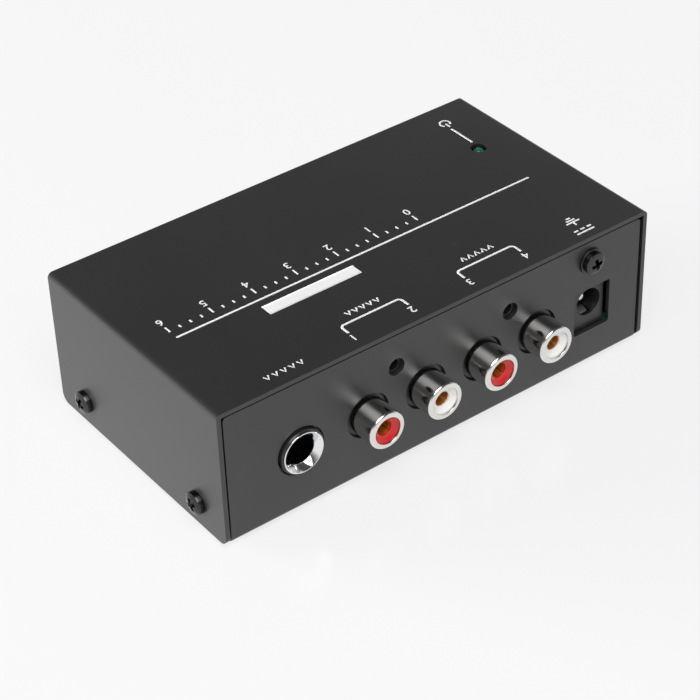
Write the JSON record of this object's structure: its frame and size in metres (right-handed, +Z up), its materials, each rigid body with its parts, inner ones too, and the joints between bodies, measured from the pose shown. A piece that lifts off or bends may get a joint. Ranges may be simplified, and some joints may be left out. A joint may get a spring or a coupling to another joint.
{
  "type": "phono preamp",
  "caption": "Low black steel box with phono input and output sockets, a quarter-inch output jack, a barrel power socket, a ground screw and a small green power lamp.",
  "frame": {"origin": "on the surface the feet stand on, under the middle of the whole part's box", "axes": "+Z up, +Y out of the connector panel, +X to the right seen from the plain front"},
  "size_m": [0.1094, 0.0646, 0.0325],
  "materials": {
    "tinned_contact": "satin",
    "black_epoxy": "matt",
    "zinc_plate": "satin",
    "standoff_brass": "satin",
    "capacitor_sleeve": "gloss",
    "black_powder_coat": "satin",
    "board_laminate": "gloss",
    "red_capacitor_coat": "gloss",
    "black_zinc_screw": "satin",
    "black_zinc_washer": "satin",
    "black_socket_plastic": "satin",
    "bezel_chrome": "gloss",
    "green_lens": "gloss",
    "black_spacer_plastic": "satin",
    "resistor_ceramic": "gloss",
    "foot_rubber": "matt",
    "gold_contact": "satin",
    "white_plastic": "gloss",
    "red_plastic": "gloss",
    "nickel_plate": "gloss"
  },
  "bodies": {
    "case": {"amplifier_chip_legs": "tinned_contact", "amplifier_chips": "black_epoxy", "board_screws": "zinc_plate", "board_standoffs": "standoff_brass", "capacitor_cans": "capacitor_sleeve", "chassis": "black_powder_coat", "circuit_board": "board_laminate", "cover": "black_powder_coat", "film_capacitors": "red_capacitor_coat", "ground_nut": "zinc_plate", "input_socket_block": "black_socket_plastic", "jack_bezel": "bezel_chrome", "jack_housing": "black_socket_plastic", "jack_tip_terminal": "tinned_contact", "lamp_leads": "tinned_contact", "lamp_lens": "green_lens", "lamp_spacer": "black_spacer_plastic", "output_socket_block": "black_socket_plastic", "power_socket_housing": "black_socket_plastic", "power_socket_pin": "tinned_contact", "power_socket_terminal": "tinned_contact", "resistor_leads": "tinned_contact", "resistors": "resistor_ceramic", "rubber_feet": "foot_rubber", "side_screws": "black_zinc_screw", "socket_contact_in_left": "gold_contact", "socket_contact_in_right": "gold_contact", "socket_contact_out_left": "gold_contact", "socket_contact_out_right": "gold_contact", "socket_insert_in_left": "white_plastic", "socket_insert_in_right": "red_plastic", "socket_insert_out_left": "white_plastic", "socket_insert_out_right": "red_plastic", "socket_shell_in_left": "nickel_plate", "socket_shell_in_right": "nickel_plate", "socket_shell_out_left": "nickel_plate", "socket_shell_out_right": "nickel_plate", "voltage_regulator": "black_epoxy"},
    "ground_washer_body": {"ground_washer": "black_zinc_washer", "ground_screw_shank": "black_zinc_screw"},
    "ground_screw_body": {"ground_screw_head": "black_zinc_screw"},
    "tip_spring_body": {"jack_tip_spring": "tinned_contact"},
    "power_spring_body": {"power_socket_spring": "tinned_contact"}
  },
  "joints": [
    {"name": "ground_washer_slide", "type": "slide", "parent": "case", "child": "ground_washer_body", "axis": [0, 1, 0], "range_m": [0, 0.0015]},
    {"name": "ground_screw_turn", "type": "hinge", "parent": "ground_washer_body", "child": "ground_screw_body", "pos_m": [-0.0381, 0.02608, 0.0264], "axis": [0, 1, 0], "range_deg": [0, 1080]},
    {"name": "tip_spring_flex", "type": "hinge", "parent": "case", "child": "tip_spring_body", "pos_m": [0.0346, 0.00413, 0.0203], "axis": [1, 0, 0], "range_deg": [0, 10], "stiffness_Nm_per_rad": 0.02},
    {"name": "power_spring_flex", "type": "hinge", "parent": "case", "child": "power_spring_body", "pos_m": [-0.039, 0.01638, 0.0106], "axis": [-1, 0, 0], "range_deg": [0, 8], "stiffness_Nm_per_rad": 0.02}
  ],
  "couplings": [
    {"joint": "ground_screw_turn", "follows": "ground_washer_slide", "rad_per_m": 12566}
  ]
}
